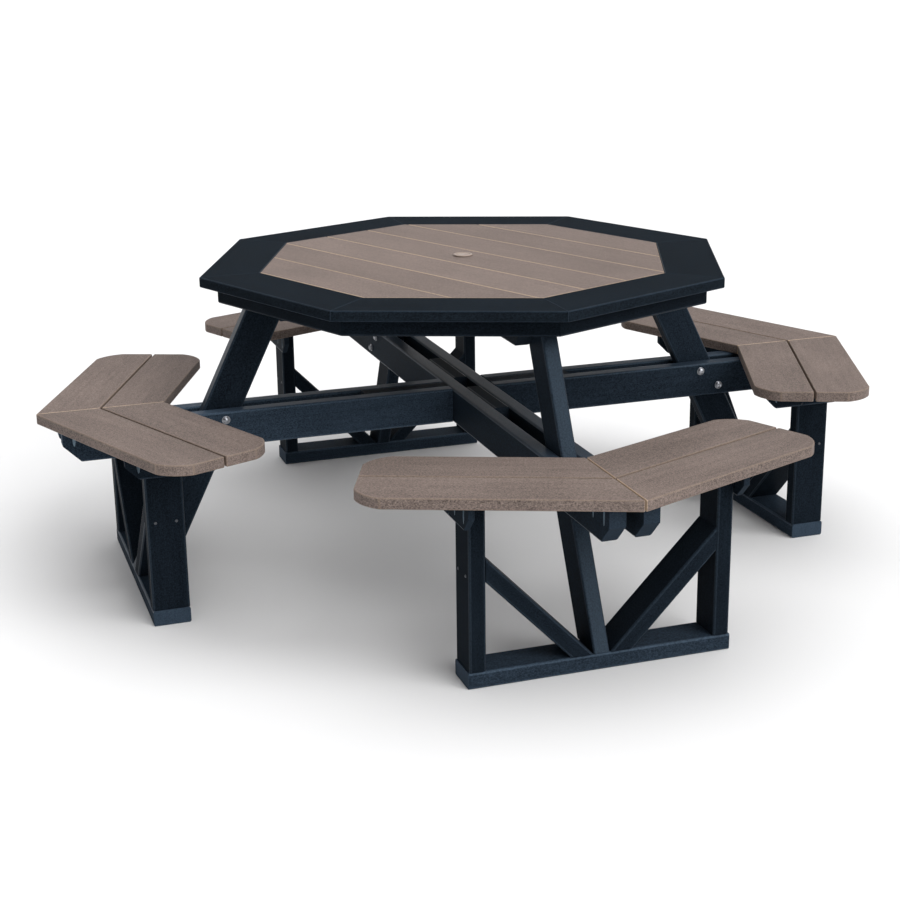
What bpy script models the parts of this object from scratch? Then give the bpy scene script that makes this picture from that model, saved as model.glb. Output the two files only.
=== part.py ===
"""Octagonal picnic table with four angled benches, built from recycled-plastic lumber.

The origin is on the floor under the middle of the table, +Z up. One beam runs along X and one along Y.
Each end of a beam carries a leg, a floor frame and a bench with one bend, so these are built once in a
bench's own frame (radial = +X, sideways = Y) and parented to an empty turned to that side.
"""

import math

import bmesh
import bpy
from mathutils import Matrix

# Driving dimensions, in metres.
TABLE_HEIGHT = 0.762
BOARD = 0.0254  # thickness of the tabletop and seat boards
BOARD_WIDTH = 0.1397
LUMBER = 0.0381  # frame lumber, thickness and width
LUMBER_WIDTH = 0.0889
FIT_GAP = 0.0003  # between two pieces that touch
EDGE_RADIUS = 0.003  # eased long edges of every board

OCTAGON_HALF_ANGLE = math.radians(22.5)
TOP_APOTHEM = 0.6335  # middle of the tabletop to an outer edge
FIELD_APOTHEM = TOP_APOTHEM - BOARD_WIDTH
SLAT_COUNT = 7
SLAT_GAP = 0.0012
SLAT_AZIMUTH = math.radians(22.5)  # the direction across the slats
SKIRT_SETBACK = 0.040
SKIRT_HEIGHT = 0.042
SKIRT_THICKNESS = 0.0254

PLUG_PLACE = (0.0, 0.021)  # the umbrella hole is a little off the middle of the table
PLUG_HOLE_RADIUS = 0.0205
PLUG_STEM_RADIUS = 0.0195
PLUG_STEM_TAPER = 0.001
PLUG_STEM_LENGTH = 0.017
PLUG_LIP_RADIUS = 0.0245
PLUG_LIP_HEIGHT = 0.0045
PLUG_RIM_STEPS = 6
ROUND_SIDES = 32

SEAT_HEIGHT = 0.4590
SEAT_OUTER_APOTHEM = 1.0150
SEAT_GAP = 0.0055
SEAT_END = 0.1800  # a bench's end, past the foot of the perpendicular from the middle
SEAT_CORNER_RADIUS = 0.0635
SEAT_CORNER_STEPS = 8
SEAT_FREE_CORNER_RADIUS = 0.004

RAIL_TOP = SEAT_HEIGHT - BOARD - FIT_GAP
RAIL_BOTTOM = RAIL_TOP - LUMBER_WIDTH
RAIL_END = 1.0460
RAIL_CHAMFER = 0.0430
FILLER_START = 0.0500
FILLER_END = 0.2650

BASE_OUTER = 0.8930  # outer edge of a floor board, from the middle
BASE_HALF_LENGTH = 0.3115
POST_OUTER = 0.3085  # outer face of a post, from the beam's middle
CLEAT_HEIGHT = 0.0645
CLEAT_LENGTH = 0.2340
CLEAT_THICKNESS = 0.0145
CLEAT_CENTRE = 0.8180
CLEAT_CHAMFER = 0.0330
BRACE_ANGLE = math.radians(46.0)
LEG_LEAN = math.radians(26.4)

TOP_BRACE_END = 0.5300
TOP_BRACE_CHAMFER = 0.0300

TOP_UNDERSIDE = TABLE_HEIGHT - BOARD
RAIL_OFFSET = LUMBER + FIT_GAP  # a rail's middle, from its beam's middle
FLOOR_BOARD_MIDDLE = BASE_OUTER - LUMBER_WIDTH / 2

# side name: azimuth in degrees, names of the ends at local -Y and +Y
SIDES = {
    "front": (-90, ("left", "right")),
    "right": (0, ("front", "back")),
    "back": (90, ("right", "left")),
    "left": (180, ("back", "front")),
}


def clear_scene():
    for obj in list(bpy.data.objects):
        bpy.data.objects.remove(obj, do_unlink=True)


def new_collection(name):
    collection = bpy.data.collections.new(name)
    bpy.context.scene.collection.children.link(collection)
    return collection


def new_material(name, colour, roughness, metallic=0.0):
    material = bpy.data.materials.new(name)
    material.use_nodes = True
    shader = material.node_tree.nodes["Principled BSDF"]
    shader.inputs["Base Color"].default_value = (*colour, 1.0)
    shader.inputs["Roughness"].default_value = roughness
    shader.inputs["Metallic"].default_value = metallic
    return material


clear_scene()
TABLE = new_collection("picnic_table")
CUTTERS = new_collection("cutters")
BROWN = (0.275, 0.215, 0.180)
BLACK = (0.012, 0.016, 0.022)
COLOURS = {
    "slat": (BROWN, 0.60),
    "seat": (BROWN, 0.58),
    "border": (BLACK, 0.52),
    "frame": (BLACK, 0.55),
    "plug": ((0.250, 0.190, 0.150), 0.40),
}


def add_object(name, mesh, look):
    """An object of the table, with its own material."""
    obj = bpy.data.objects.new(name, mesh)
    TABLE.objects.link(obj)
    colour, roughness = COLOURS[look]
    mesh.materials.append(new_material(f"{name}_{look}", colour, roughness))
    return obj


def ease_edges(obj, radius=EDGE_RADIUS, segments=2):
    bevel = obj.modifiers.new("eased_edges", "BEVEL")
    bevel.width = radius
    bevel.segments = segments
    bevel.limit_method = "ANGLE"
    bevel.angle_limit = math.radians(35)
    return obj


def box(name, size, centre, look, parent=None, rotation=(0, 0, 0)):
    """A straight board: its size along X, Y and Z, its middle, and its turn in radians."""
    mesh = bpy.data.meshes.new(name)
    cube = bmesh.new()
    bmesh.ops.create_cube(cube, size=1.0, matrix=Matrix.Diagonal((*size, 1.0)))
    cube.to_mesh(mesh)
    cube.free()
    obj = add_object(name, mesh, look)
    obj.location = centre
    obj.rotation_euler = rotation
    obj.parent = parent
    return ease_edges(obj)


def outline_mesh(name, loops, thickness):
    """A flat outline, with any holes in it, given its thickness as a filled 2D curve and made a mesh."""
    curve = bpy.data.curves.new(name, "CURVE")
    curve.dimensions = "2D"
    curve.fill_mode = "BOTH"
    curve.extrude = thickness / 2
    for loop in loops:
        spline = curve.splines.new("POLY")
        spline.points.add(len(loop) - 1)
        for point, (x, y) in zip(spline.points, loop):
            point.co = (x, y, 0.0, 1.0)
        spline.use_cyclic_u = True
    guide = bpy.data.objects.new(f"{name}_outline", curve)
    CUTTERS.objects.link(guide)
    graph = bpy.context.evaluated_depsgraph_get()
    mesh = bpy.data.meshes.new_from_object(guide.evaluated_get(graph))
    mesh.name = name
    bpy.data.objects.remove(guide, do_unlink=True)
    solid = bmesh.new()
    solid.from_mesh(mesh)
    bmesh.ops.remove_doubles(solid, verts=solid.verts, dist=0.00001)
    bmesh.ops.dissolve_limit(
        solid, angle_limit=math.radians(0.5), verts=solid.verts, edges=solid.edges
    )
    bmesh.ops.recalc_face_normals(solid, faces=solid.faces)
    solid.to_mesh(mesh)
    solid.free()
    return mesh


def outline_board(name, loops, thickness, look, centre, rotation=(0, 0, 0), parent=None):
    obj = add_object(name, outline_mesh(name, loops, thickness), look)
    obj.location = centre
    obj.rotation_euler = rotation
    obj.parent = parent
    return ease_edges(obj)


def octagon(apothem):
    """The corners of an octagon whose corners point along X and Y."""
    radius = apothem / math.cos(OCTAGON_HALF_ANGLE)
    return [
        (radius * math.cos(k * math.pi / 4), radius * math.sin(k * math.pi / 4)) for k in range(8)
    ]


def arc(centre, radius, start, end, steps):
    """Points on an arc, its angles in degrees."""
    angles = [math.radians(start + (end - start) * i / steps) for i in range(steps + 1)]
    return [(centre[0] + radius * math.cos(a), centre[1] + radius * math.sin(a)) for a in angles]


def upright(turn=0.0):
    """Stands an outline up: its X stays level, its Y becomes Z, then it turns about Z."""
    return (math.pi / 2, 0.0, turn)


def tabletop():
    outline_board(
        "top_border",
        [octagon(TOP_APOTHEM), octagon(FIELD_APOTHEM + FIT_GAP)],
        BOARD,
        "border",
        (0, 0, TABLE_HEIGHT - BOARD / 2),
    )
    skirt_outer = TOP_APOTHEM - SKIRT_SETBACK
    outline_board(
        "top_skirt",
        [octagon(skirt_outer), octagon(skirt_outer - SKIRT_THICKNESS)],
        SKIRT_HEIGHT,
        "frame",
        (0, 0, TOP_UNDERSIDE - FIT_GAP - SKIRT_HEIGHT / 2),
    )
    for number in range(SLAT_COUNT):
        slat(number)
    cut_plug_hole(bpy.data.objects[f"top_slat_{SLAT_COUNT // 2 + 1}"])
    hole_plug()


def slat(number):
    """One slat: the strip of the octagonal field that it covers. u is across the slats and v along them."""
    pitch = 2 * FIELD_APOTHEM / SLAT_COUNT
    low = -FIELD_APOTHEM + number * pitch + SLAT_GAP / 2
    high = low + pitch - SLAT_GAP
    reach = FIELD_APOTHEM - SLAT_GAP / 2
    shoulder = reach * (math.sqrt(2) - 1)

    def half_length(u):
        return min(reach, reach * math.sqrt(2) - abs(u))

    across = [low, *(u for u in (-shoulder, shoulder) if low < u < high), high]
    loop = [(u, -half_length(u)) for u in across] + [(u, half_length(u)) for u in reversed(across)]
    outline_board(
        f"top_slat_{number + 1}",
        [loop],
        BOARD,
        "slat",
        (0, 0, TABLE_HEIGHT - BOARD / 2),
        (0, 0, SLAT_AZIMUTH),
    )


def cut_plug_hole(middle_slat):
    mesh = bpy.data.meshes.new("plug_hole_cutter")
    cone = bmesh.new()
    bmesh.ops.create_cone(
        cone,
        cap_ends=True,
        segments=ROUND_SIDES,
        radius1=PLUG_HOLE_RADIUS,
        radius2=PLUG_HOLE_RADIUS,
        depth=4 * BOARD,
    )
    cone.to_mesh(mesh)
    cone.free()
    cutter = bpy.data.objects.new("plug_hole_cutter", mesh)
    cutter.location = (*PLUG_PLACE, TABLE_HEIGHT - BOARD / 2)
    cutter.hide_render = True
    cutter.display_type = "WIRE"
    CUTTERS.objects.link(cutter)
    cut = middle_slat.modifiers.new("umbrella_hole", "BOOLEAN")
    cut.operation = "DIFFERENCE"
    cut.solver = "EXACT"
    cut.object = cutter


def hole_plug():
    """The plug that closes the umbrella hole: a round-edged lip on a short stem, turned about its own axis."""
    top = FIT_GAP + PLUG_LIP_HEIGHT
    rim_radius = PLUG_LIP_HEIGHT / 2
    rim = arc((PLUG_LIP_RADIUS - rim_radius, top - rim_radius), rim_radius, 90, -90, PLUG_RIM_STEPS)
    stem = [
        (PLUG_STEM_RADIUS, FIT_GAP),
        (PLUG_STEM_RADIUS - PLUG_STEM_TAPER, -PLUG_STEM_LENGTH),
        (0.0, -PLUG_STEM_LENGTH),
    ]
    mesh = bpy.data.meshes.new("umbrella_hole_plug")
    line = bmesh.new()
    verts = [line.verts.new((x, 0.0, z)) for x, z in [(0.0, top), *rim, *stem]]
    for first, second in zip(verts, verts[1:]):
        line.edges.new((first, second))
    line.to_mesh(mesh)
    line.free()
    plug = add_object("umbrella_hole_plug", mesh, "plug")
    plug.location = (*PLUG_PLACE, TABLE_HEIGHT)
    screw = plug.modifiers.new("turned", "SCREW")
    screw.axis = "Z"
    screw.steps = ROUND_SIDES
    screw.render_steps = ROUND_SIDES
    screw.use_merge_vertices = True
    screw.merge_threshold = 0.00001


def top_braces():
    """Two braces on edge under the slats, each screwed beside a pair of opposite legs.

    They are half-lapped where they cross, and both stay clear of the umbrella pole's way.
    """
    offset = LUMBER + FIT_GAP
    half_width = LUMBER_WIDTH / 2
    notch_half = LUMBER / 2 + FIT_GAP
    bottom_end = TOP_BRACE_END - TOP_BRACE_CHAMFER
    middle = TOP_UNDERSIDE - FIT_GAP - half_width

    def brace_outline(crossing, notch_from_top):
        edge = [
            (-TOP_BRACE_END, half_width),
            (-TOP_BRACE_END, TOP_BRACE_CHAMFER - half_width),
            (-bottom_end, -half_width),
            (bottom_end, -half_width),
            (TOP_BRACE_END, TOP_BRACE_CHAMFER - half_width),
            (TOP_BRACE_END, half_width),
        ]
        if notch_from_top:
            return edge + [
                (crossing + notch_half, half_width),
                (crossing + notch_half, -FIT_GAP / 2),
                (crossing - notch_half, -FIT_GAP / 2),
                (crossing - notch_half, half_width),
            ]
        notch = [
            (crossing - notch_half, -half_width),
            (crossing - notch_half, FIT_GAP / 2),
            (crossing + notch_half, FIT_GAP / 2),
            (crossing + notch_half, -half_width),
        ]
        return edge[:3] + notch + edge[3:]

    outline_board(
        "top_brace_x",
        [brace_outline(-offset, False)],
        LUMBER,
        "frame",
        (0, -offset, middle),
        upright(),
    )
    outline_board(
        "top_brace_y",
        [brace_outline(-offset, True)],
        LUMBER,
        "frame",
        (-offset, 0, middle),
        upright(math.pi / 2),
    )


def rail(name, start, end, centre, turn, chamfer_start):
    """A rail on edge. Its outer end, or each end, is chamfered at the bottom."""
    half_width = LUMBER_WIDTH / 2
    foot = [(start, -half_width)]
    if chamfer_start:
        foot = [(start, RAIL_CHAMFER - half_width), (start + RAIL_CHAMFER, -half_width)]
    loop = foot + [
        (end - RAIL_CHAMFER, -half_width),
        (end, RAIL_CHAMFER - half_width),
        (end, half_width),
        (start, half_width),
    ]
    outline_board(name, [loop], LUMBER, "frame", centre, upright(turn))


def beams():
    """The Y beam is two whole rails. The X beam is four half rails that butt against them."""
    middle = (RAIL_TOP + RAIL_BOTTOM) / 2
    for name, x in (("left", -RAIL_OFFSET), ("right", RAIL_OFFSET)):
        rail(f"rail_y_{name}", -RAIL_END, RAIL_END, (x, 0, middle), math.pi / 2, True)
    butt = RAIL_OFFSET + LUMBER / 2 + FIT_GAP
    for name, y in (("front", -RAIL_OFFSET), ("back", RAIL_OFFSET)):
        rail(f"rail_x_right_{name}", butt, RAIL_END, (0, y, middle), 0.0, False)
        rail(f"rail_x_left_{name}", butt, RAIL_END, (0, y, middle), math.pi, False)
    for name, sign in (("front", -1), ("back", 1)):
        length = FILLER_END - FILLER_START
        box(
            f"beam_filler_{name}",
            (LUMBER, length, LUMBER_WIDTH),
            (0, sign * (FILLER_START + length / 2), middle),
            "frame",
        )


def leg(side, parent):
    """A leaning leg, from the floor board up to the tabletop's underside, with its wide face radial."""
    foot, head = LUMBER + FIT_GAP, TOP_UNDERSIDE - FIT_GAP
    level_width = LUMBER_WIDTH / math.cos(LEG_LEAN)
    shift = (head - foot) * math.tan(LEG_LEAN)
    loop = [
        (BASE_OUTER - level_width, foot),
        (BASE_OUTER, foot),
        (BASE_OUTER - shift, head),
        (BASE_OUTER - shift - level_width, head),
    ]
    outline_board(f"leg_{side}", [loop], LUMBER, "frame", (0, 0, 0), upright(), parent)


def floor_frame(side, ends, parent):
    """A floor board with a post at each end up to the seat, and braces from the posts down to the leg."""
    box(
        f"floor_board_{side}",
        (LUMBER_WIDTH, 2 * BASE_HALF_LENGTH, LUMBER),
        (FLOOR_BOARD_MIDDLE, 0, LUMBER / 2),
        "frame",
        parent,
    )
    foot = LUMBER + FIT_GAP
    head = RAIL_TOP
    inner_face = POST_OUTER - LUMBER - FIT_GAP
    leg_face = LUMBER / 2 + FIT_GAP
    rise = (inner_face - leg_face) * math.tan(BRACE_ANGLE)
    drop = LUMBER / math.cos(BRACE_ANGLE)
    spread = LUMBER / math.sin(BRACE_ANGLE)
    for end, sign in zip(ends, (-1, 1)):
        box(
            f"post_{side}_{end}",
            (LUMBER_WIDTH, LUMBER, head - foot),
            (FLOOR_BOARD_MIDDLE, sign * (POST_OUTER - LUMBER / 2), (head + foot) / 2),
            "frame",
            parent,
        )
        loop = [
            (sign * leg_face, foot),
            (sign * (leg_face + spread), foot),
            (sign * inner_face, foot + rise - drop),
            (sign * inner_face, foot + rise),
        ]
        outline_board(
            f"brace_{side}_{end}",
            [loop],
            LUMBER_WIDTH,
            "frame",
            (FLOOR_BOARD_MIDDLE, 0, 0),
            upright(math.pi / 2),
            parent,
        )
        cleat(f"cleat_{side}_{end}", sign, parent)


def cleat(name, sign, parent):
    """The cleat that a bench's two planks are screwed to, on a post's outer face, its lower corners cut off."""
    half, height = CLEAT_LENGTH / 2, CLEAT_HEIGHT
    loop = [
        (-half, 0.0),
        (-half, CLEAT_CHAMFER - height),
        (CLEAT_CHAMFER - half, -height),
        (half - CLEAT_CHAMFER, -height),
        (half, CLEAT_CHAMFER - height),
        (half, 0.0),
    ]
    centre = (CLEAT_CENTRE, sign * (POST_OUTER + FIT_GAP + CLEAT_THICKNESS / 2), RAIL_TOP)
    outline_board(name, [loop], CLEAT_THICKNESS, "frame", centre, upright(), parent)


def bench_point(normal, along, sign):
    """A point of a bench half: its distance from the middle, and its place along the half's edge."""
    cos, sin = math.cos(OCTAGON_HALF_ANGLE), math.sin(OCTAGON_HALF_ANGLE)
    return (normal * cos - along * sin, sign * (normal * sin + along * cos))


def half_end(inner, outer, round_outer):
    """The end of a plank as (normal, along) points, from its outer edge to its inner edge."""
    large, small = SEAT_CORNER_RADIUS, SEAT_FREE_CORNER_RADIUS
    outer_radius, inner_radius = (large, small) if round_outer else (small, large)
    outer_corner = (outer - outer_radius, SEAT_END - outer_radius)
    inner_corner = (inner + inner_radius, SEAT_END - inner_radius)
    steps = (SEAT_CORNER_STEPS, 2) if round_outer else (2, SEAT_CORNER_STEPS)
    return arc(outer_corner, outer_radius, 0, 90, steps[0]) + arc(
        inner_corner, inner_radius, 90, 180, steps[1]
    )


def seat_plank(name, inner, outer, round_outer, parent):
    """A bent plank: two boards mitred on the beam's line, their free ends rounded."""
    end = half_end(inner, outer, round_outer)
    right_half = [bench_point(n, t, 1) for n, t in end]
    left_half = [bench_point(n, t, -1) for n, t in reversed(end)]
    cos = math.cos(OCTAGON_HALF_ANGLE)
    loop = [(outer / cos, 0.0), *right_half, (inner / cos, 0.0), *left_half]
    centre = (0, 0, SEAT_HEIGHT - BOARD / 2)
    outline_board(name, [loop], BOARD, "seat", centre, parent=parent)


def bench(side, parent):
    outer, inner = SEAT_OUTER_APOTHEM, SEAT_OUTER_APOTHEM - BOARD_WIDTH
    seat_plank(f"seat_{side}_outer", inner, outer, True, parent)
    outer = inner - SEAT_GAP
    seat_plank(f"seat_{side}_inner", outer - BOARD_WIDTH, outer, False, parent)


def build():
    tabletop()
    top_braces()
    beams()
    for side, (azimuth, ends) in SIDES.items():
        turned = bpy.data.objects.new(f"{side}_side", None)
        turned.rotation_euler = (0, 0, math.radians(azimuth))
        TABLE.objects.link(turned)
        leg(side, turned)
        floor_frame(side, ends, turned)
        bench(side, turned)


build()
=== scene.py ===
"""The looks of an octagonal picnic table of recycled-plastic lumber.

Each board is rebuilt as its own piece where the CAD has it: eased long edges, sawn ends, a hair
gap at every mitre. Bolts, screws and pocket holes are added. A board's mesh is in its own frame,
with the grain along X, so that the lumber's pattern follows the board.
"""

import math
import random

import bmesh
import bpy
from mathutils import Matrix, Vector


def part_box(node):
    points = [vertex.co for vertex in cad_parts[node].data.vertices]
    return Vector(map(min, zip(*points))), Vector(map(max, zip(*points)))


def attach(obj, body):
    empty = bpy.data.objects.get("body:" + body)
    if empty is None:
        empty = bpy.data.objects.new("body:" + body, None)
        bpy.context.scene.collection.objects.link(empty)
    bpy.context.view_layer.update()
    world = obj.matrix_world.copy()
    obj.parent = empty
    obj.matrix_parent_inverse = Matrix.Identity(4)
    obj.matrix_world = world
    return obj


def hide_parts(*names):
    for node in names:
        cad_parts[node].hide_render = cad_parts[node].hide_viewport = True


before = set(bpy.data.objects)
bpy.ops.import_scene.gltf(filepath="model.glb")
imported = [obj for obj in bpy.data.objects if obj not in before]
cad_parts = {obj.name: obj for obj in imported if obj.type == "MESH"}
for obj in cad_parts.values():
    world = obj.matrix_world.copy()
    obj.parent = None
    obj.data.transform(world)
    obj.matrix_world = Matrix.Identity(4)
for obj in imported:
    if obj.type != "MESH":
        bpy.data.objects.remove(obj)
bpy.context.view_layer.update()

HALF_ANGLE = math.radians(22.5)
COS, SIN = math.cos(HALF_ANGLE), math.sin(HALF_ANGLE)
UP = Vector((0, 0, 1))

# Sizes that the CAD model doesn't show, in metres.
BOARD_WIDTH = 0.1397
FIT_GAP = 0.0003  # between two boards that touch
MITRE_GAP = 0.0001  # each side of a mitre of the border or skirt
# How far the edges of a board are eased, by material: the long edges, then the sawn ones.
EASING = {
    "slat": (0.0028, 0.0007),
    "seat": (0.0028, 0.0015),
    "border": (0.0028, 0.0009),
    "frame": (0.0050, 0.0007),
}
EASING_STEPS = 5
SLAT_GAP = 0.0012
SEAT_MITRE_GAPS = {"front": 0.0018, "right": 0.0005, "back": 0.0008, "left": 0.0004}
HOLE_MARGIN = 0.0040  # the plug's lip overlaps its hole by this much all round
SEAT_CORNER_RADIUS = 0.0635  # of the CAD's corners
SEAT_CORNER_CUT = 0.0600  # how far from the corner its rounding starts
SEAT_CORNER_SWEEP = math.radians(52)
SEAT_CORNER_STEPS = 12
RAIL_CHAMFER = 0.0430
CLEAT_CHAMFER = 0.0330
TOP_BRACE_CHAMFER = 0.0300
CROSS_FILLER_EXTRA = 0.0170  # that the crossing beam's fillers reach further than the others

# Fasteners, in metres. Places along a beam are measured from the middle of the table.
BOLT_DROPS = (0.0205, 0.0635)  # below the rail's top
BOLT_SHIFTS = (-0.009, 0.024)  # outward from the leg's middle at that height
BOLT_RADIUS = 0.0048
BOLT_HOLE_RADIUS = 0.0052
POCKET_RADIUS = 0.0042
POCKET_SLOPE = math.radians(9.5)
POCKET_DEPTH = 0.0030  # of the pocket's axis at its upper end
POCKET_DROP = 0.0050  # the pocket's upper end, below the seat
CLEAT_POCKETS = (-0.087, -0.030, 0.030, 0.087)  # from the cleat's middle
RAIL_POCKETS = (0.820, 0.888, 0.963, 1.019)
POST_SCREW_DROP = 0.041  # below the top of the brace's end
POST_SCREW_SHIFT = 0.0245  # each way from the post's middle
CLEAT_SCREW = (-0.0100, -0.0590)  # along the cleat from its middle, and down from its top
SCREW_RADIUS = 0.0036
CLEAT_SCREW_RADIUS = 0.0030
CLEAT_SCREW_SINK = 0.0040  # of the head below the cleat's face
WASHER_RISE = 0.0018
NUT_RISE = 0.0098
BOLT_END_RISE = 0.0125
HEAD_RADIUS = 0.0086
# Turned profiles, as (radius, height) points.
POCKET_SCREW = [
    (0, -0.0005),
    (0.0036, -0.0005),
    (0.0036, 0.0006),
    (0.0026, 0.0016),
    (0.0022, 0.0026),
    (0.0010, 0.0030),
    (0, 0.0030),
]
WASHER = [(0, 0), (0.0105, 0), (0.0105, 0.0014), (0.0100, WASHER_RISE), (0, WASHER_RISE)]
NUT = [
    (0, WASHER_RISE),
    (0.0078, WASHER_RISE),
    (0.0085, 0.0026),
    (0.0085, 0.0090),
    (0.0076, NUT_RISE),
    (0, NUT_RISE),
]

# The floor's middle, its edge and the far backdrop that it turns up into: (radius, height).
FLOOR_PROFILE = [(0, 0), (45, 0), (50, 0.4), (56, 2.0), (62, 5.5), (67, 11.0), (70, 19.0)]
# Broad soft lights: name, azimuth and elevation of the source, its spread, and its strength.
SUNS = (
    ("front_softbox", -60, 36, 56, 3.0),
    ("top_softbox", 60, 78, 70, 1.8),
    ("left_fill", -160, 30, 70, 0.03),
)

# Material slots of a board's mesh.
FACE, EASED, SAWN = 0, 1, 2

SIDES = {
    "front": (-90, ("left", "right")),
    "right": (0, ("front", "back")),
    "back": (90, ("right", "left")),
    "left": (180, ("back", "front")),
}
SEED = random.Random(11)


# ---------------------------------------------------------------- materials


def add_node(tree, kind, inputs=None, **settings):
    """A node with its settings, and its inputs given as values or as sockets to link from."""
    node = tree.nodes.new(kind)
    for key, value in settings.items():
        setattr(node, key, value)
    for key, value in (inputs or {}).items():
        if isinstance(value, bpy.types.NodeSocket):
            tree.links.new(value, node.inputs[key])
        else:
            node.inputs[key].default_value = value
    return node


def calculate(tree, operation, first, second):
    return add_node(tree, "ShaderNodeMath", {0: first, 1: second}, operation=operation).outputs[0]


def weighted_sum(tree, parts):
    """The sum of (socket, weight) pairs."""
    total = None
    for socket, weight in parts:
        term = calculate(tree, "MULTIPLY", socket, weight)
        total = term if total is None else calculate(tree, "ADD", total, term)
    return total


def noise(tree, where, seed, scale, stretch=(1, 1, 1), detail=2.0, roughness=0.5):
    place = add_node(tree, "ShaderNodeMapping", {"Vector": where, "Scale": stretch})
    texture = add_node(
        tree,
        "ShaderNodeTexNoise",
        {
            "Vector": place.outputs[0],
            "W": seed,
            "Scale": scale,
            "Detail": detail,
            "Roughness": roughness,
        },
        noise_dimensions="4D",
    )
    return texture.outputs[0]


def ramp(tree, factor, stops):
    """A colour ramp from (position, colour) stops."""
    node = add_node(tree, "ShaderNodeValToRGB", {"Fac": factor})
    elements = node.color_ramp.elements
    while len(elements) < len(stops):
        elements.new(0.5)
    for element, (position, colour) in zip(elements, stops):
        element.position = position
        element.color = (*colour, 1.0)
    return node.outputs["Color"]


def scaled(colour, factor):
    return tuple(min(1.0, c * factor) for c in colour)


def new_material(name, gloss, tint=(1, 1, 1), metallic=0.0):
    material = bpy.data.materials.new(name)
    material.use_nodes = True
    shader = material.node_tree.nodes["Principled BSDF"]
    shader.inputs["Specular IOR Level"].default_value = gloss
    shader.inputs["Specular Tint"].default_value = (*tint, 1.0)
    shader.inputs["Metallic"].default_value = metallic
    return material, material.node_tree, shader


def lumber(
    name, colour, contrast, roughness, gloss, tint=(1, 1, 1), grain=(0.06, 1, 1), relief=0.3
):
    """Recycled-plastic lumber: flow streaks along the grain, cloudy shade and a pitted speckle."""
    material, tree, shader = new_material(name, gloss, tint)
    where = add_node(tree, "ShaderNodeTexCoord").outputs["Object"]
    board = add_node(tree, "ShaderNodeAttribute", attribute_name="board").outputs["Fac"]
    seed = calculate(tree, "MULTIPLY", board, 40.0)
    streaks = noise(tree, where, seed, 110, grain, 3.0, 0.6)
    clouds = noise(tree, where, seed, 9, (0.4, 1, 1), 3.0)
    grains = noise(tree, where, seed, 380, (0.7, 1, 1), 2.0, 0.6)
    specks = noise(tree, where, seed, 900, detail=1.0)
    mixed = weighted_sum(tree, [(streaks, 0.12), (clouds, 0.13), (grains, 0.5), (specks, 0.25)])
    shade = ramp(
        tree,
        mixed,
        [
            (0.34, scaled(colour, 1 - contrast)),
            (0.5, colour),
            (0.66, scaled(colour, 1 + contrast)),
        ],
    )
    # Painted light and shade: a lightness per kind of board that mostly makes up for the studio's
    # lights, plus a small random spread between boards.
    tone_and_painted_light = add_node(tree, "ShaderNodeAttribute", attribute_name="tone_and_painted_light").outputs["Fac"]
    painted_light_and_tone_colour = add_node(tree, "ShaderNodeHueSaturation", {"Color": shade, "Value": tone_and_painted_light})
    tree.links.new(painted_light_and_tone_colour.outputs[0], shader.inputs["Base Color"])
    spread = calculate(tree, "MULTIPLY", calculate(tree, "SUBTRACT", mixed, 0.5), 0.8)
    tree.links.new(calculate(tree, "ADD", spread, roughness), shader.inputs["Roughness"])
    height = weighted_sum(tree, [(streaks, 0.35), (grains, 0.4), (specks, 0.25)])
    bump = add_node(
        tree, "ShaderNodeBump", {"Height": height, "Strength": relief, "Distance": 0.0012}
    )
    tree.links.new(bump.outputs[0], shader.inputs["Normal"])
    return material


def steel(name, dark, light, metallic):
    """Brushed steel with a slight handling mottle."""
    material, tree, shader = new_material(name, 0.5, metallic=metallic)
    where = add_node(tree, "ShaderNodeTexCoord").outputs["Object"]
    scratches = noise(tree, where, 0.0, 1500, (1, 1, 0.1), 3.0)
    mottle = noise(tree, where, 2.0, 220, detail=2.0)
    mixed = weighted_sum(tree, [(scratches, 0.5), (mottle, 0.5)])
    shade = ramp(tree, mixed, [(0.35, dark), (0.65, light)])
    tree.links.new(shade, shader.inputs["Base Color"])
    rough = calculate(tree, "ADD", calculate(tree, "MULTIPLY", mixed, 0.3), 0.20)
    tree.links.new(rough, shader.inputs["Roughness"])
    bump = add_node(
        tree, "ShaderNodeBump", {"Height": scratches, "Strength": 0.15, "Distance": 0.0002}
    )
    tree.links.new(bump.outputs[0], shader.inputs["Normal"])
    return material


def floor_material():
    material, tree, shader = new_material("studio_floor", 0.1)
    where = add_node(tree, "ShaderNodeTexCoord").outputs["Object"]
    cloud = noise(tree, where, 0.0, 1.5, detail=2.0)
    shade = ramp(tree, cloud, [(0.3, (0.71, 0.71, 0.71)), (0.7, (0.73, 0.73, 0.73))])
    tree.links.new(shade, shader.inputs["Base Color"])
    shader.inputs["Roughness"].default_value = 0.9
    return material


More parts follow.
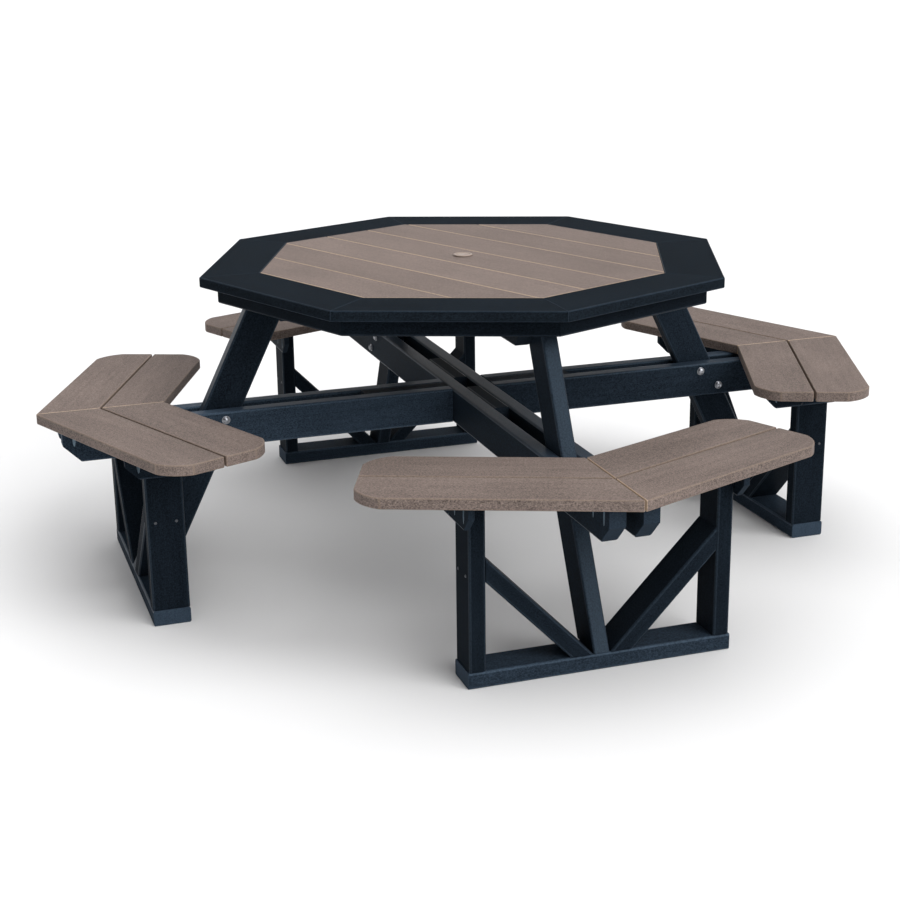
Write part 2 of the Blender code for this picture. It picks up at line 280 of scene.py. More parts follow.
BROWN = (0.168, 0.132, 0.116)
WARM = (0.235, 0.178, 0.145)
TAN = (0.33, 0.25, 0.185)
BLACK = (0.0085, 0.0128, 0.0185)
COOL = (0.60, 0.80, 1.0)
MATERIALS = {
    "slat": (
        lumber("slat_lumber", scaled(BROWN, 0.96), 0.55, 0.60, 0.08),
        lumber("slat_lumber_edge", TAN, 0.25, 0.55, 0.2),
        lumber("slat_lumber_sawn", TAN, 0.35, 0.75, 0.2, grain=(1, 1, 0.08)),
    ),
    "seat": (
        lumber("seat_lumber", scaled(BROWN, 0.88), 0.8, 0.60, 0.08),
        lumber("seat_lumber_edge", scaled(WARM, 0.74), 0.45, 0.55, 0.15),
        lumber("seat_lumber_sawn", scaled(TAN, 1.15), 0.35, 0.75, 0.2, grain=(1, 1, 0.08)),
    ),
    "border": (
        lumber("border_lumber", (0.0088, 0.0128, 0.0175), 0.8, 0.60, 0.005, COOL),
        # The border's eased edges and sawn mitre faces are lighter than its faces: painted
        # highlight lines along its edges and at its mitres.
        lumber("border_lumber_edge_painted_highlight", scaled(BLACK, 1.7), 0.5, 0.5, 0.05, COOL),
        lumber("border_lumber_sawn_painted_highlight", scaled(BLACK, 2.2), 0.5, 0.68, 0.1, COOL, (1, 1, 0.08), 0.5),
    ),
    "frame": (
        lumber("frame_lumber", scaled(BLACK, 1.08), 0.8, 0.50, 0.008, COOL),
        # Lighter than the frame's faces: a painted sheen on the eased edges and on the faces that
        # take the edges' material.
        lumber("frame_lumber_edge_painted_sheen", scaled(BLACK, 1.7), 0.7, 0.42, 0.12, COOL),
        lumber("frame_lumber_sawn", scaled(BLACK, 1.6), 0.5, 0.68, 0.05, COOL, (1, 1, 0.08), 0.5),
    ),
}
# How light a kind of board is against its material. Most of this is painted light and shade, not
# the lumber's own colour: it lightens or darkens a kind of board where the studio's lights give it
# too little or too much.
PAINTED_LIGHT_AND_TONES = {
    "border_board": 0.9,
    "skirt_board": 0.65,
    "post": 0.75,
    "brace": 0.85,
    "leg": 1.15,
    "floor_board": 2.1,
    "rail_x_left": 2.8,
    "rail": 1.35,
}
TONE_SPREAD = 0.05
# Inside the holes and pockets: lighter and bluer than the lumber, painted light that stands in for
# the highlights in them and lifts their shade.
HOLE_PAINTED_LIGHT = lumber("black_lumber_hole_painted_light", (0.060, 0.085, 0.105), 0.4, 0.35, 0.5, COOL)
PLUG_MATERIAL = lumber("brown_moulded_plastic", (0.27, 0.21, 0.175), 0.12, 0.36, 0.5, relief=0.05)
STEEL = steel("stainless_steel", (0.24, 0.25, 0.27), (0.44, 0.45, 0.48), 1.0)
COATED_STEEL = steel("coated_steel", (0.030, 0.033, 0.038), (0.075, 0.082, 0.095), 0.3)


# ---------------------------------------------------------------- boards


def board_mesh(name, outline, thickness, slot, cuts, like_edges):
    """A board from its outline. The segments in cuts are sawn: their edges stay crisp.

    Those in like_edges take the material of the eased edges, which on the frame's black lumber is
    lighter: a painted sheen.
    """
    easing, sawn_easing = EASING[slot]
    solid = bmesh.new()
    top = [solid.verts.new((x, y, thickness / 2)) for x, y in outline]
    bottom = [solid.verts.new((x, y, -thickness / 2)) for x, y in outline]
    solid.faces.new(top)
    solid.faces.new(reversed(bottom))
    count = len(outline)
    eased = []
    for i in range(count):
        j = (i + 1) % count
        side = solid.faces.new((top[i], bottom[i], bottom[j], top[j]))
        if i in cuts:
            side.material_index = SAWN
            continue
        side.material_index = EASED if i in like_edges else FACE
        eased += [solid.edges.get((top[i], top[j])), solid.edges.get((bottom[i], bottom[j]))]
        corner = solid.edges.get((top[i], bottom[i]))
        before = Vector(outline[i]) - Vector(outline[i - 1])
        after = Vector(outline[j]) - Vector(outline[i])
        if (i - 1) % count not in cuts and before.angle(after) > math.radians(20):
            eased.append(corner)
    bmesh.ops.recalc_face_normals(solid, faces=solid.faces)
    bevel = {"affect": "EDGES", "profile": 0.5, "clamp_overlap": True}
    bmesh.ops.bevel(
        solid, geom=eased, offset=easing, segments=EASING_STEPS, material=EASED, **bevel
    )
    crisp = [e for e in solid.edges if e.is_manifold and e.calc_face_angle() > math.radians(40)]
    if crisp:
        bmesh.ops.bevel(
            solid, geom=crisp, offset=sawn_easing, segments=1, material=SAWN, **bevel
        )
    mesh = bpy.data.meshes.new(name)
    solid.to_mesh(mesh)
    solid.free()
    return mesh


def placed(origin, along, across):
    """The frame with its X along a board and its Y across it."""
    x, y = Vector(along).normalized(), Vector(across).normalized()
    turn = Matrix((x, y, x.cross(y))).transposed().to_4x4()
    return Matrix.Translation(origin) @ turn


def shade_smooth(obj):
    obj.data.shade_smooth()
    obj.data.set_sharp_from_angle(angle=math.radians(20))
    normals = obj.modifiers.new("flat_faces", "WEIGHTED_NORMAL")
    normals.keep_sharp = True
    normals.weight = 100


def add_piece(name, mesh, placement, nodes, body="table"):
    obj = bpy.data.objects.new(name, mesh)
    bpy.context.scene.collection.objects.link(obj)
    obj.matrix_world = placement
    shade_smooth(obj)
    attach(obj, body)
    if nodes:
        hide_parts(*nodes)
    return obj


def cut_with(mesh, cutter_mesh, placement):
    """The mesh less the cutter, which is given in the shared frame."""
    target = bpy.data.objects.new("cut_target", mesh)
    target.matrix_world = placement
    cutter = bpy.data.objects.new("cutter", cutter_mesh)
    for obj in (target, cutter):
        bpy.context.scene.collection.objects.link(obj)
    cut = target.modifiers.new("cut", "BOOLEAN")
    cut.operation = "DIFFERENCE"
    cut.solver = "EXACT"
    cut.material_mode = "TRANSFER"
    cut.object = cutter
    graph = bpy.context.evaluated_depsgraph_get()
    result = bpy.data.meshes.new_from_object(target.evaluated_get(graph))
    for obj in (target, cutter):
        bpy.data.objects.remove(obj)
    return result


def add_number(mesh, name, value):
    """A number that the material reads, the same all over the mesh."""
    mark = mesh.attributes.get(name) or mesh.attributes.new(name, "FLOAT", "POINT")
    mark.data.foreach_set("value", [value] * len(mesh.vertices))


def board(name, outline, thickness, placement, slot, nodes, cuts=(), cutter=None, like_edges=()):
    mesh = board_mesh(name, outline, thickness, slot, cuts, like_edges)
    for material in MATERIALS[slot]:
        mesh.materials.append(material)
    if cutter:
        mesh = cut_with(mesh, cutter, placement)
        mesh.name = name
    # Painted light and shade by kind of board, with a small random spread from board to board.
    tone_and_painted_light = next((value for kind, value in PAINTED_LIGHT_AND_TONES.items() if name.startswith(kind)), 1.0)
    add_number(mesh, "board", SEED.random())
    add_number(mesh, "tone_and_painted_light", tone_and_painted_light * (1 + TONE_SPREAD * (2 * SEED.random() - 1)))
    return add_piece(name, mesh, placement, nodes)


def add_turned(solid, profile, matrix, steps=24):
    """Adds a turned shape: a profile of (radius, height) points, spun about the matrix's Z."""
    rings = []
    for radius, height in profile:
        angles = [0.0] if radius == 0 else [2 * math.pi * k / steps for k in range(steps)]
        points = [Vector((radius * math.cos(a), radius * math.sin(a), height)) for a in angles]
        rings.append([solid.verts.new(matrix @ point) for point in points])
    for lower, upper in zip(rings, rings[1:]):
        for k in range(steps):
            corners = [
                lower[k % len(lower)],
                lower[(k + 1) % len(lower)],
                upper[(k + 1) % len(upper)],
                upper[k % len(upper)],
            ]
            solid.faces.new(dict.fromkeys(corners))


def turned_mesh(name, shapes, material):
    """One mesh of turned shapes, each given as (profile, matrix, steps)."""
    solid = bmesh.new()
    for profile, matrix, steps in shapes:
        add_turned(solid, profile, matrix, steps)
    bmesh.ops.recalc_face_normals(solid, faces=solid.faces)
    mesh = bpy.data.meshes.new(name)
    solid.to_mesh(mesh)
    solid.free()
    mesh.materials.append(material)
    add_number(mesh, "board", 0.5)
    add_number(mesh, "tone_and_painted_light", 1.0)
    return mesh


# ---------------------------------------------------------------- tabletop


def apothem_of(node):
    """The apothem of an octagonal ring whose corners point along X and Y."""
    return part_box(node)[1].x * COS


BORDER_LOW, BORDER_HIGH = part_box("top_border")
TOP_APOTHEM = apothem_of("top_border")
FIELD_APOTHEM = TOP_APOTHEM - BOARD_WIDTH
BOARD = BORDER_HIGH.z - BORDER_LOW.z
BOARD_MIDDLE = (BORDER_HIGH.z + BORDER_LOW.z) / 2


def octagon_ring(name, outer, inner, thickness, height, slot, node):
    """Eight mitred boards in a ring, numbered round the table."""
    for number in range(8):
        azimuth = math.pi / 4 * number + HALF_ANGLE
        outward = Vector((math.cos(azimuth), math.sin(azimuth), 0))
        sideways = UP.cross(outward)
        middle = (outer + inner) / 2
        trim = MITRE_GAP / COS
        long_half = outer * SIN / COS - trim
        short_half = inner * SIN / COS - trim
        outline = [
            (-short_half, inner - middle),
            (-long_half, outer - middle),
            (long_half, outer - middle),
            (short_half, inner - middle),
        ]
        # Local X runs against the sideways direction, so that local Z points up.
        placement = placed(outward * middle + UP * height, -sideways, outward)
        board(f"{name}_{number + 1}", outline, thickness, placement, slot, [node], {0, 2})


def tabletop():
    inner = FIELD_APOTHEM + FIT_GAP
    octagon_ring("border_board", TOP_APOTHEM, inner, BOARD, BOARD_MIDDLE, "border", "top_border")
    low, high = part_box("top_skirt")
    outer = apothem_of("top_skirt")
    octagon_ring(
        "skirt_board",
        outer,
        outer - BOARD,
        high.z - low.z,
        (high.z + low.z) / 2,
        "frame",
        "top_skirt",
    )
    nodes = sorted(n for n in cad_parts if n.startswith("top_slat_"))
    for number, node in enumerate(nodes):
        slat(number, len(nodes), node)


def slat(number, count, node):
    """One slat: the strip of the octagonal field that it covers."""
    pitch = 2 * FIELD_APOTHEM / count
    low = -FIELD_APOTHEM + number * pitch + SLAT_GAP / 2
    high = low + pitch - SLAT_GAP
    middle = (low + high) / 2
    reach = FIELD_APOTHEM - SLAT_GAP / 2
    shoulder = reach * (math.sqrt(2) - 1)

    def half_length(u):
        return min(reach, reach * math.sqrt(2) - abs(u))

    across = [low, *(u for u in (-shoulder, shoulder) if low < u < high), high]
    ahead = [(half_length(u), u - middle) for u in across]
    behind = [(-half_length(u), u - middle) for u in reversed(across)]
    outline = ahead + behind
    ends = len(across) - 1
    cuts = set(range(ends)) | set(range(ends + 1, 2 * ends + 1))
    across_way = Vector((COS, SIN, 0))
    placement = placed(across_way * middle + UP * BOARD_MIDDLE, across_way.cross(UP), across_way)
    cutter = None
    if number == count // 2:
        low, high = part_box("umbrella_hole_plug")
        centre = (low + high) / 2
        radius = (high.x - low.x) / 2 - HOLE_MARGIN
        profile = [(0, -0.1), (radius, -0.1), (radius, 0.1), (0, 0.1)]
        place = Matrix.Translation((centre.x, centre.y, BOARD_MIDDLE))
        cutter = turned_mesh("plug_hole", [(profile, place, 64)], MATERIALS["slat"][SAWN])
    board(node, outline, BOARD, placement, "slat", [node], cuts, cutter)


def plug():
    """The umbrella hole's plug: a rounded rim round a shallow dish, on a plain stem."""
    low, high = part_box("umbrella_hole_plug")
    centre = (low + high) / 2
    radius = (high.x - low.x) / 2
    surface = BORDER_HIGH.z
    rise = high.z - surface
    rim = rise / 2
    profile = [(0, rise * 0.78), (radius * 0.45, rise * 0.70), (radius * 0.70, rise * 0.66)]
    profile += [(radius * 0.76, rise * 0.72), (radius * 0.80, rise * 0.95)]
    for step in range(13):
        angle = math.radians(90 - 180 * step / 12)
        profile.append((radius - rim + rim * math.cos(angle), rise - rim + rim * math.sin(angle)))
    stem = radius - HOLE_MARGIN - 0.001
    profile += [(stem, FIT_GAP), (stem - 0.001, low.z - surface), (0, low.z - surface)]
    place = Matrix.Translation((centre.x, centre.y, surface))
    mesh = turned_mesh("umbrella_hole_plug", [(profile, place, 64)], PLUG_MATERIAL)
    nodes = ["umbrella_hole_plug"]
    add_piece("hole_plug", mesh, Matrix.Identity(4), nodes, "umbrella_plug")


# ---------------------------------------------------------------- benches


def seat_half(side, end, sign, plank, outward, sideways):
    """Half of a bent plank, from the mitre on the beam's line to its rounded free end."""
    outer_node, inner_node = f"seat_{side}_outer", f"seat_{side}_inner"
    low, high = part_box(outer_node)
    reach = max(abs(v) for v in (low.dot(outward), high.dot(outward)))
    outermost = reach * COS
    spread = max(abs(v) for v in (low.dot(sideways), high.dot(sideways)))
    corner = SEAT_CORNER_RADIUS
    free_end = (spread - corner - (outermost - corner) * SIN) / COS + corner
    low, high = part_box(inner_node)
    inner_reach = max(abs(v) for v in (low.dot(outward), high.dot(outward)))
    outer = outermost if plank == "outer" else inner_reach * COS
    inner = outer - BOARD_WIDTH
    middle = (outer + inner) / 2
    trim = SEAT_MITRE_GAPS[side] / COS

    def rounded(normal, toward):
        """The rounded corner of the free end, from the board's edge round to its end.

        It meets both with a faint crease, being less than a quarter of a circle.
        """
        start = (math.pi / 2 - SEAT_CORNER_SWEEP) / 2
        radius = SEAT_CORNER_CUT / (math.cos(start) - math.sin(start))
        points = []
        for step in range(SEAT_CORNER_STEPS + 1):
            angle = start + SEAT_CORNER_SWEEP * step / SEAT_CORNER_STEPS
            along = free_end - SEAT_CORNER_CUT + radius * (math.sin(angle) - math.sin(start))
            points.append((along, normal + toward * radius * (math.cos(start) - math.cos(angle))))
        return points

    mitre_outer = (-outer * SIN / COS + trim, outer)
    mitre_inner = (-inner * SIN / COS + trim, inner)
    if plank == "outer":
        points = [mitre_inner, mitre_outer, *rounded(outer, -1), (free_end, inner)]
        beside_gap = len(points) - 1
    else:
        points = [mitre_inner, mitre_outer, (free_end, outer), *reversed(rounded(inner, 1))]
        beside_gap = 1
    # In this half's frame, n points outward across the board and t along it to the free end.
    n_way = outward * COS + sideways * (SIN * sign)
    t_way = sideways * (COS * sign) - outward * SIN
    flip = 1 if t_way.cross(n_way).z > 0 else -1
    outline = [(t, flip * (n - middle)) for t, n in points]
    height = (high.z + low.z) / 2
    placement = placed(n_way * middle + UP * height, t_way, n_way * flip)
    node = f"seat_{side}_{plank}"
    thickness = high.z - low.z
    board(f"{node}_{end}", outline, thickness, placement, "seat", [node], {0}, None, {beside_gap})


def benches():
    for side, (azimuth, ends) in SIDES.items():
        outward = direction(azimuth)
        sideways = UP.cross(outward)
        for end, sign in zip(ends, (-1, 1)):
            for plank in ("inner", "outer"):
                seat_half(side, end, sign, plank, outward, sideways)


# ---------------------------------------------------------------- frame


def direction(azimuth):
    angle = math.radians(azimuth)
    return Vector((round(math.cos(angle)), round(math.sin(angle)), 0))


def span(node, way):
    """The lowest and highest reach of a node along a level or upright direction."""
    low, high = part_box(node)
    ends = sorted((low.dot(way), high.dot(way)))
    return ends[0], ends[1]


def size(node, way):
    low, high = span(node, way)
    return high - low


def middle_of(node):
    low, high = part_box(node)
    return (low + high) / 2


def straight(node, along, across, chamfers=(0.0, 0.0), cutter=None):
    """A straight board in a node's box, its lower corners cut off by the given chamfers."""
    thin = Vector(along).cross(Vector(across))
    length, width, thickness = (size(node, way) for way in (along, across, thin))
    half, wide = length / 2, width / 2
    start, end = chamfers
    outline = [(-half, -wide)] if not start else [(-half, start - wide), (start - half, -wide)]
    outline += [(half, -wide)] if not end else [(half - end, -wide), (half, end - wide)]
    outline += [(half, wide), (-half, wide)]
    count = len(outline)
    long_edges = {1 if start else 0, count - 2}
    cuts = set(range(count)) - long_edges
    placement = placed(middle_of(node), along, across)
    # A rail's top takes the lighter edge material: a painted sheen.
    like_edges = {count - 2} if node.startswith("rail_") else ()
    board(node, outline, thickness, placement, "frame", [node], cuts, cutter, like_edges)


def leaning(node, corners, radial, lean):
    """A leaning board's outline and placement, from its corners in the plane of radial and up."""
    along = UP * math.cos(lean) - radial * math.sin(lean)
    across = radial * math.cos(lean) + UP * math.sin(lean)
    centre = middle_of(node)
    outline = []
    for reach, height in corners:
        point = radial * reach + UP * height
        level = centre - radial * centre.dot(radial) - UP * centre.z
        offset = point + level - centre
        outline.append((offset.dot(along), offset.dot(across)))
    return outline, placed(centre, along, across)


def leg_lean(node, radial):
    """A leg's lean from upright, which follows from its box and the lumber's width."""
    inner, outer = span(node, radial)
    foot, head = span(node, UP)
    reach, rise = outer - inner, head - foot
    return math.acos(lumber_width() / math.hypot(reach, rise)) - math.atan2(rise, reach)


def leg(side, radial):
    """A leg between the rails."""
    node = f"leg_{side}"
    inner, outer = span(node, radial)
    foot, head = span(node, UP)
    lean = leg_lean(node, radial)
    level = lumber_width() / math.cos(lean)
    corners = [(outer - level, foot), (outer, foot), (inner + level, head), (inner, head)]
    outline, placement = leaning(node, corners, radial, lean)
    sideways = UP.cross(radial)
    cutter = bolt_holes(side, radial)
    # The leg's outer narrow face takes the lighter edge material: painted light.
    board(node, outline, size(node, sideways), placement, "frame", [node], {0, 2}, cutter, {1})


def brace(node, radial, sideways):
    """A diagonal from the foot of the leg up to a post, its ends cut level and plumb."""
    near, far = span(node, sideways)
    foot, head = span(node, UP)
    slope = math.atan2(head - foot, far - near)
    thickness = lumber_thickness()
    drop, spread = thickness / math.cos(slope), thickness / math.sin(slope)
    corners = [(near, foot), (near + spread, foot), (far, head - drop), (far, head)]
    outline, placement = leaning(node, corners, sideways, slope - math.pi / 2)
    board(node, outline, size(node, radial), placement, "frame", [node], {0, 2})


def lumber_width():
    return size("rail_y_left", UP)


def lumber_thickness():
    return size("rail_y_left", Vector((1, 0, 0)))


def bolt_places(side, radial):
    """Points on the leg's middle plane where the two bolts pass through."""
    node = f"leg_{side}"
    outer, foot = span(node, radial)[1], span(node, UP)[0]
    lean = leg_lean(node, radial)
    rail_top = span("rail_y_left", UP)[1]
    places = []
    for drop, shift in zip(BOLT_DROPS, BOLT_SHIFTS):
        height = rail_top - drop
        middle = outer - lumber_width() / math.cos(lean) / 2 - (height - foot) * math.tan(lean)
        places.append(radial * (middle + shift) + UP * height)
    return places


def axis_matrix(origin, axis):
    """A frame at origin with its Z along axis."""
    return Matrix.Translation(origin) @ Vector(axis).to_track_quat("Z", "Y").to_matrix().to_4x4()


def bolt_holes(side, radial):
    sideways = UP.cross(radial)
    profile = [(0, -0.2), (BOLT_HOLE_RADIUS, -0.2), (BOLT_HOLE_RADIUS, 0.2), (0, 0.2)]
    shapes = [(profile, axis_matrix(p, sideways), 20) for p in bolt_places(side, radial)]
    return turned_mesh("bolt_holes", shapes, HOLE_PAINTED_LIGHT)


def pocket_matrix(point, face_normal):
    """A frame at the upper end of a pocket's axis, its Z down the pocket and out of the face."""
    axis = -UP * math.cos(POCKET_SLOPE) + face_normal * math.sin(POCKET_SLOPE)
    return axis_matrix(point - face_normal * POCKET_DEPTH, axis)


def pocket_shapes(points, face_normal):
    profile = [(0, 0), (POCKET_RADIUS, 0), (POCKET_RADIUS, 0.07), (0, 0.07)]
    return [(profile, pocket_matrix(p, face_normal), 20) for p in points]


def pocket_screw_shapes(points, face_normal):
    """Washer-head screws seated at the pockets' upper ends."""
    return [(POCKET_SCREW, pocket_matrix(p, face_normal), 16) for p in points]


def pocket_height():
    return span("rail_y_left", UP)[1] - POCKET_DROP


def dome(radius, rise, base, steps=6):
    """A domed head's profile from its rim to its top."""
    points = []
    for step in range(steps + 1):
        angle = math.pi / 2 * step / steps
        points.append((radius * math.cos(angle), base + rise * math.sin(angle)))
    points[-1] = (0, base + rise)
    return points


def beams():
    """Rails with pocket holes under the outer ends and bolt holes at the legs."""
    y_way, x_way = Vector((0, 1, 0)), Vector((1, 0, 0))
    for name, sign in (("left", -1), ("right", 1)):
        node = f"rail_y_{name}"
        shapes = []
        for azimuth, side in ((-90, "front"), (90, "back")):
            shapes += rail_cuts(node, side, direction(azimuth), x_way * sign)
        cutter = turned_mesh("rail_cuts", shapes, HOLE_PAINTED_LIGHT)
        straight(node, y_way, UP, (RAIL_CHAMFER, RAIL_CHAMFER), cutter=cutter)
    for end, chamfers in (("left", (RAIL_CHAMFER, 0.0)), ("right", (0.0, RAIL_CHAMFER))):
        radial = x_way if end == "right" else -x_way
        for name, sign in (("front", -1), ("back", 1)):
            node = f"rail_x_{end}_{name}"
            shapes = rail_cuts(node, end, radial, y_way * sign)
            cutter = turned_mesh("rail_cuts", shapes, HOLE_PAINTED_LIGHT)
            straight(node, x_way, UP, chamfers, cutter=cutter)
    for name in ("front", "back"):
        straight(f"beam_filler_{name}", y_way, UP)
    cross_fillers(x_way)


def rail_pockets(node, radial, face_normal):
    """The upper ends of the pockets in a rail's outer face, at one end of its beam."""
    face = face_normal * max(span(node, face_normal)) + UP * pocket_height()
    return [radial * reach + face for reach in RAIL_POCKETS]


def rail_cuts(node, side, radial, face_normal):
    """The cutters of a rail's outer end: pockets in its outer face and the two bolt holes."""
    shapes = pocket_shapes(rail_pockets(node, radial, face_normal), face_normal)
    profile = [(0, -0.1), (BOLT_HOLE_RADIUS, -0.1), (BOLT_HOLE_RADIUS, 0.1), (0, 0.1)]
    shapes += [(profile, axis_matrix(p, face_normal), 20) for p in bolt_places(side, radial)]
    return shapes


def cross_fillers(x_way):
    """The blocks between the half rails of the crossing beam, which the CAD leaves out."""
    filler_end = span("beam_filler_back", Vector((0, 1, 0)))[1] + CROSS_FILLER_EXTRA
    start = span("rail_y_right", x_way)[1] + FIT_GAP
    length = filler_end - start
    width = lumber_width()
    outline = [
        (-length / 2, -width / 2),
        (length / 2, -width / 2),
        (length / 2, width / 2),
        (-length / 2, width / 2),
    ]
    height = middle_of("rail_y_left").z
    for name, sign in (("left", -1), ("right", 1)):
        centre = x_way * (sign * (start + length / 2)) + UP * height
        placement = placed(centre, x_way, UP)
        thickness = lumber_thickness()
        board(f"cross_filler_{name}", outline, thickness, placement, "frame", [], {1, 3})


def top_braces():
    """Two boards on edge under the slats, half-lapped where they cross."""
    x_way, y_way = Vector((1, 0, 0)), Vector((0, 1, 0))
    for node, other, along, top_notch in (
        ("top_brace_x", "top_brace_y", x_way, False),
        ("top_brace_y", "top_brace_x", y_way, True),
    ):
        length, width = size(node, along), size(node, UP)
        near, far = span(other, along)
        start, end = near - FIT_GAP, far + FIT_GAP
        half, wide, chamfer = length / 2, width / 2, TOP_BRACE_CHAMFER
        foot = [(-half, chamfer - wide), (chamfer - half, -wide)]
        tail = [(half - chamfer, -wide), (half, chamfer - wide)]
        head = [(half, wide), (-half, wide)]
        if top_notch:
            notch = [(end, wide), (end, -FIT_GAP / 2), (start, -FIT_GAP / 2), (start, wide)]
            outline = foot + tail + head[:1] + notch + head[1:]
            long_edges = {1, 4, 8}
        else:
            notch = [(start, -wide), (start, FIT_GAP / 2), (end, FIT_GAP / 2), (end, -wide)]
            outline = foot + notch + tail + head
            long_edges = {1, 5, 8}
        cuts = set(range(len(outline))) - long_edges
        placement = placed(middle_of(node), along, UP)
        board(node, outline, lumber_thickness(), placement, "frame", [node], cuts)


def cleat(node, radial, face_normal):
    """A cleat on a post's outer face, with four pocket holes up into the seat planks."""
    middle = middle_of(node)
    reach = max(span(node, face_normal))
    base = radial * middle.dot(radial) + face_normal * reach + UP * pocket_height()
    points = [base + radial * shift for shift in CLEAT_POCKETS]
    screw = cleat_screw_place(node, radial, face_normal)
    bore = [(0, -0.0045), (0.0034, -0.0045), (0.0034, 0.01), (0, 0.01)]
    shapes = [*pocket_shapes(points, face_normal), (bore, axis_matrix(screw, face_normal), 20)]
    cutter = turned_mesh("cleat_cuts", shapes, HOLE_PAINTED_LIGHT)
    straight(node, radial, UP, (CLEAT_CHAMFER, CLEAT_CHAMFER), cutter=cutter)
    head = screw_head(screw - face_normal * CLEAT_SCREW_SINK, face_normal, CLEAT_SCREW_RADIUS)
    return [*pocket_screw_shapes(points, face_normal), head]


def screw_head(point, face_normal, radius=SCREW_RADIUS):
    """A countersunk-looking pan head standing a little proud of a face."""
    profile = [(0, -0.0010), (radius, -0.0010), (radius, 0.0004)]
    profile += dome(radius * 0.95, 0.0016, 0.0006)
    return (profile, axis_matrix(point, face_normal), 18)


def side_frame(side, azimuth, ends):
    """Everything under one bench."""
    radial = direction(azimuth)
    sideways = UP.cross(radial)
    leg(side, radial)
    straight(f"floor_board_{side}", sideways, radial)
    pocket_screws, face_screws = [], []
    for end, sign in zip(ends, (-1, 1)):
        face_normal = sideways * sign
        straight(f"post_{side}_{end}", UP, radial)
        brace(f"brace_{side}_{end}", radial, face_normal)
        pocket_screws += cleat(f"cleat_{side}_{end}", radial, face_normal)
        face_screws += post_screws(side, end, radial, face_normal)
    for name, shapes in (("pocket_screws", pocket_screws), ("face_screws", face_screws)):
        mesh = turned_mesh(f"{name}_{side}", shapes, COATED_STEEL)
        add_piece(f"{name}_{side}", mesh, Matrix.Identity(4), [])
    bolts(side, radial, sideways)


def post_screws(side, end, radial, face_normal):
    """The two screws through a post into the end of its brace."""
    post = f"post_{side}_{end}"
    height = span(f"brace_{side}_{end}", UP)[1] - POST_SCREW_DROP
    base = face_normal * max(span(post, face_normal)) + UP * height
    middle = middle_of(post).dot(radial)
    return [
        screw_head(base + radial * (middle + shift), face_normal)
        for shift in (-POST_SCREW_SHIFT, POST_SCREW_SHIFT)
    ]


def cleat_screw_place(node, radial, face_normal):
    """Where the screw through a cleat into its post meets the cleat's outer face."""
    along, down = CLEAT_SCREW
    reach = middle_of(node).dot(radial) + along
    height = span(node, UP)[1] + down
    return radial * reach + face_normal * max(span(node, face_normal)) + UP * height


def bolts(side, radial, sideways):
    """Two bolts through the rails and the leg: a domed head at one end and a nut at the other."""
    half = lumber_thickness() * 1.5 + FIT_GAP
    # Heads are on the faces that look toward -X on the Y beam and toward -Y on the X beam.
    out = sideways if sideways.x + sideways.y < 0 else -sideways
    shanks, washers, nuts = [], [], []
    end = -2 * half - BOLT_END_RISE
    for point in bolt_places(side, radial):
        head = axis_matrix(point + out * half, out)
        tail = axis_matrix(point - out * half, -out)
        profile = [(0, end), (BOLT_RADIUS - 0.001, end), (BOLT_RADIUS, end + 0.001)]
        profile += [(BOLT_RADIUS, WASHER_RISE), (0.0082, WASHER_RISE), (HEAD_RADIUS, 0.0026)]
        profile += dome(HEAD_RADIUS, 0.0052, 0.0030)
        shanks.append((profile, head, 28))
        washers += [(WASHER, head, 28), (WASHER, tail, 28)]
        nuts.append((NUT, tail, 6))
    for name, shapes in (("bolts", shanks), ("washers", washers), ("nuts", nuts)):
        mesh = turned_mesh(f"{name}_{side}", shapes, STEEL)
        add_piece(f"{name}_{side}", mesh, Matrix.Identity(4), [])


def rail_pocket_screws():
    """The screws in the rails' pockets, at all four ends of the beams."""
    x_way, y_way = Vector((1, 0, 0)), Vector((0, 1, 0))
    shapes = []
    for radial, across, nodes in (
        (-y_way, x_way, ("rail_y_left", "rail_y_right")),
        (y_way, x_way, ("rail_y_left", "rail_y_right")),
        (x_way, y_way, ("rail_x_right_front", "rail_x_right_back")),
        (-x_way, y_way, ("rail_x_left_front", "rail_x_left_back")),
    ):
        for node, sign in zip(nodes, (-1, 1)):
            face_normal = across * sign
            shapes += pocket_screw_shapes(rail_pockets(node, radial, face_normal), face_normal)
    mesh = turned_mesh("rail_screws", shapes, COATED_STEEL)
    add_piece("rail_screws", mesh, Matrix.Identity(4), [])


# ---------------------------------------------------------------- studio


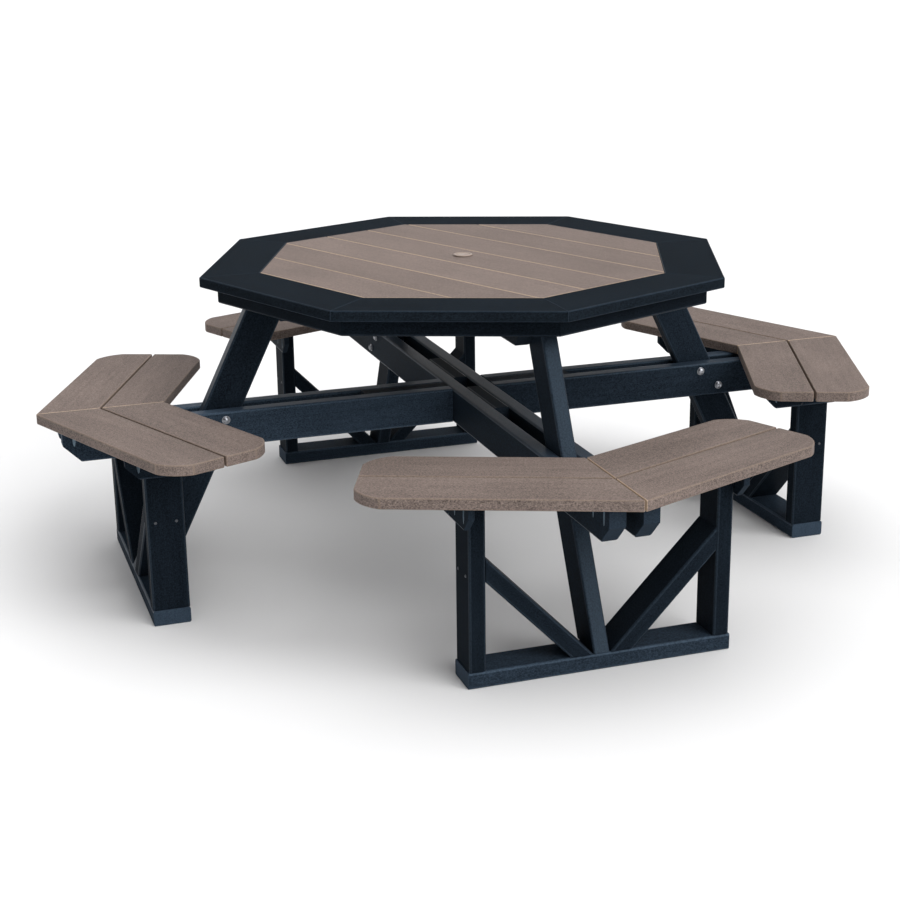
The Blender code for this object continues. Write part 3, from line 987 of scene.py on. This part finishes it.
def studio():
    sweep = turned_mesh("studio_floor", [(FLOOR_PROFILE, Matrix.Identity(4), 96)], floor_material())
    sweep.shade_smooth()
    ground = bpy.data.objects.new("studio_floor", sweep)
    bpy.context.scene.collection.objects.link(ground)
    bpy.context.scene.world = studio_world()
    for name, azimuth, elevation, spread, strength in SUNS:
        light = bpy.data.lights.new(name, "SUN")
        light.angle = math.radians(spread)
        light.energy = strength
        lamp = bpy.data.objects.new(name, light)
        turn = math.radians(azimuth)
        rise = math.radians(elevation)
        source = Vector(
            (math.cos(turn) * math.cos(rise), math.sin(turn) * math.cos(rise), math.sin(rise))
        )
        lamp.rotation_euler = source.to_track_quat("Z", "Y").to_euler()
        bpy.context.scene.collection.objects.link(lamp)


def studio_world():
    """A dim room that is lighter overhead."""
    world = bpy.data.worlds.new("studio")
    world.use_nodes = True
    tree = world.node_tree
    where = add_node(tree, "ShaderNodeTexCoord").outputs["Generated"]
    height = add_node(tree, "ShaderNodeSeparateXYZ", {0: where}).outputs["Z"]
    shade = ramp(tree, height, [(0.25, (0.10, 0.10, 0.11)), (0.95, (0.60, 0.60, 0.61))])
    tree.links.new(shade, tree.nodes["Background"].inputs["Color"])
    return world


def camera():
    """A view from the front left, a little above the table."""
    yaw, pitch, roll = math.radians(71.551), math.radians(-17.306), math.radians(-0.769)
    forward = Vector(
        (math.cos(yaw) * math.cos(pitch), math.sin(yaw) * math.cos(pitch), math.sin(pitch))
    )
    right = forward.cross(UP).normalized()
    above = right.cross(forward)
    tilted_right = right * math.cos(roll) + above * math.sin(roll)
    tilted_up = above * math.cos(roll) - right * math.sin(roll)
    turn = Matrix((tilted_right, tilted_up, -forward)).transposed().to_4x4()
    data = bpy.data.cameras.new("camera")
    data.lens = 66.66
    data.sensor_width = 36
    view = bpy.data.objects.new("camera", data)
    view.matrix_world = Matrix.Translation((-1.3749, -3.9756, 1.5572)) @ turn
    bpy.context.scene.collection.objects.link(view)
    bpy.context.scene.camera = view


tabletop()
plug()
benches()
beams()
top_braces()
for side_name, (side_azimuth, side_ends) in SIDES.items():
    side_frame(side_name, side_azimuth, side_ends)
rail_pocket_screws()
studio()
camera()
bpy.context.scene.view_settings.view_transform = "Standard"
